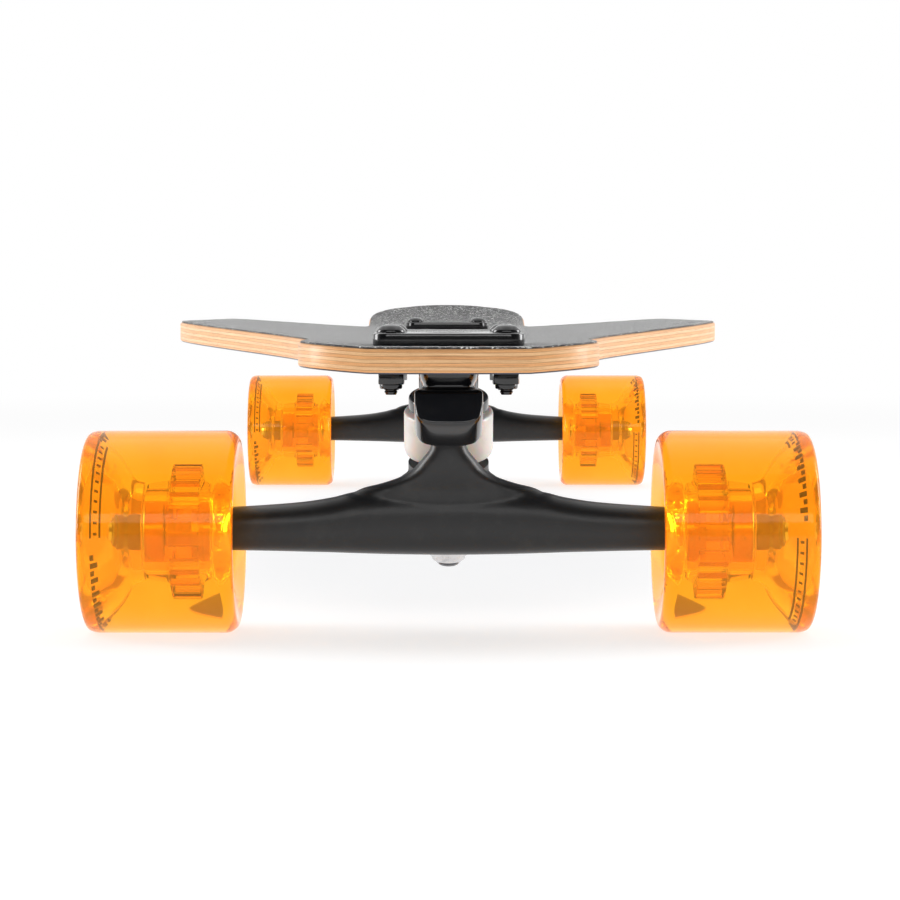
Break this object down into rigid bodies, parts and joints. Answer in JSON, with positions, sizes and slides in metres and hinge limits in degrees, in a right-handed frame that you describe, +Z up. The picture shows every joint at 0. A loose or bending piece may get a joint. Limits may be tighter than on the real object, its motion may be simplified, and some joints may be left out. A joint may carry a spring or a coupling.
{
  "type": "skateboard",
  "caption": "Drop-through longboard: kicked and concave maple deck with grip tape, sprung steering trucks through its cut-outs, and soft clear wheels on ball bearings.",
  "frame": {"origin": "on the ground, at the middle of the board's whole length and width", "axes": "+Z up, nose towards -Y, tail towards +Y, left side of the board towards +X"},
  "size_m": [0.264, 0.9816, 0.1215],
  "materials": {
    "maple_ply": "satin lacquered maple ply with a warm orange edge and a dark blue-grey bottom film",
    "grip": "black abrasive grip tape, worn grey",
    "satin_black": "satin black powder coat on cast aluminium",
    "gloss_black": "gloss black coat",
    "steel": "bright turned steel",
    "dark_steel": "dark zinc-plated steel",
    "urethane": "clear orange cast urethane with a satin tread",
    "wheel_core": "clear orange moulded core",
    "bushing": "pale translucent urethane",
    "pivot_cup": "dense black urethane"
  },
  "bodies": {
    "board": {"deck": "maple_ply", "grip_tape": "grip", "baseplate_front": "gloss_black", "pivot_cup_front": "pivot_cup", "kingpin_front": "dark_steel", "kingpin_nut_front": "steel", "upper_cup_washer_front": "gloss_black", "boardside_bushing_front": "bushing", "roadside_bushing_front": "bushing", "lower_cup_washer_front": "dark_steel", "deck_bolt_front_outboard_left": "gloss_black", "deck_nut_front_outboard_left": "gloss_black", "deck_bolt_front_outboard_right": "gloss_black", "deck_nut_front_outboard_right": "gloss_black", "deck_bolt_front_inboard_left": "gloss_black", "deck_nut_front_inboard_left": "gloss_black", "deck_bolt_front_inboard_right": "gloss_black", "deck_nut_front_inboard_right": "gloss_black", "baseplate_rear": "gloss_black", "pivot_cup_rear": "pivot_cup", "kingpin_rear": "dark_steel", "kingpin_nut_rear": "steel", "upper_cup_washer_rear": "gloss_black", "boardside_bushing_rear": "bushing", "roadside_bushing_rear": "bushing", "lower_cup_washer_rear": "dark_steel", "deck_bolt_rear_outboard_left": "gloss_black", "deck_nut_rear_outboard_left": "gloss_black", "deck_bolt_rear_outboard_right": "gloss_black", "deck_nut_rear_outboard_right": "gloss_black", "deck_bolt_rear_inboard_left": "gloss_black", "deck_nut_rear_inboard_left": "gloss_black", "deck_bolt_rear_inboard_right": "gloss_black", "deck_nut_rear_inboard_right": "gloss_black"},
    "hanger_front": {"hanger_front": "satin_black", "axle_front": "steel", "axle_nut_front_left": "dark_steel", "axle_nut_front_right": "dark_steel"},
    "wheel_front_left": {"tyre_front_left": "urethane", "wheel_core_front_left": "wheel_core", "inner_bearing_front_left": "steel", "outer_bearing_front_left": "steel"},
    "wheel_front_right": {"tyre_front_right": "urethane", "wheel_core_front_right": "wheel_core", "inner_bearing_front_right": "steel", "outer_bearing_front_right": "steel"},
    "hanger_rear": {"hanger_rear": "satin_black", "axle_rear": "steel", "axle_nut_rear_left": "dark_steel", "axle_nut_rear_right": "dark_steel"},
    "wheel_rear_left": {"tyre_rear_left": "urethane", "wheel_core_rear_left": "wheel_core", "inner_bearing_rear_left": "steel", "outer_bearing_rear_left": "steel"},
    "wheel_rear_right": {"tyre_rear_right": "urethane", "wheel_core_rear_right": "wheel_core", "inner_bearing_rear_right": "steel", "outer_bearing_rear_right": "steel"}
  },
  "joints": [
    {"name": "steer_front", "type": "hinge", "parent": "board", "child": "hanger_front", "pos_m": [0, -0.41452, 0.05657], "axis": [0, -0.8271, 0.5621], "range_deg": [-20, 20], "stiffness_Nm_per_rad": 40, "deforming": ["boardside_bushing_front", "roadside_bushing_front"]},
    {"name": "spin_front_left", "type": "hinge", "parent": "hanger_front", "child": "wheel_front_left", "pos_m": [0.11, -0.43425, 0.037], "axis": [1, 0, 0], "continuous": true},
    {"name": "spin_front_right", "type": "hinge", "parent": "hanger_front", "child": "wheel_front_right", "pos_m": [-0.11, -0.43425, 0.037], "axis": [1, 0, 0], "continuous": true},
    {"name": "steer_rear", "type": "hinge", "parent": "board", "child": "hanger_rear", "pos_m": [0, 0.35602, 0.05657], "axis": [0, 0.8271, 0.5621], "range_deg": [-20, 20], "stiffness_Nm_per_rad": 40, "deforming": ["boardside_bushing_rear", "roadside_bushing_rear"]},
    {"name": "spin_rear_left", "type": "hinge", "parent": "hanger_rear", "child": "wheel_rear_left", "pos_m": [0.11, 0.37575, 0.037], "axis": [1, 0, 0], "continuous": true},
    {"name": "spin_rear_right", "type": "hinge", "parent": "hanger_rear", "child": "wheel_rear_right", "pos_m": [-0.11, 0.37575, 0.037], "axis": [1, 0, 0], "continuous": true}
  ]
}
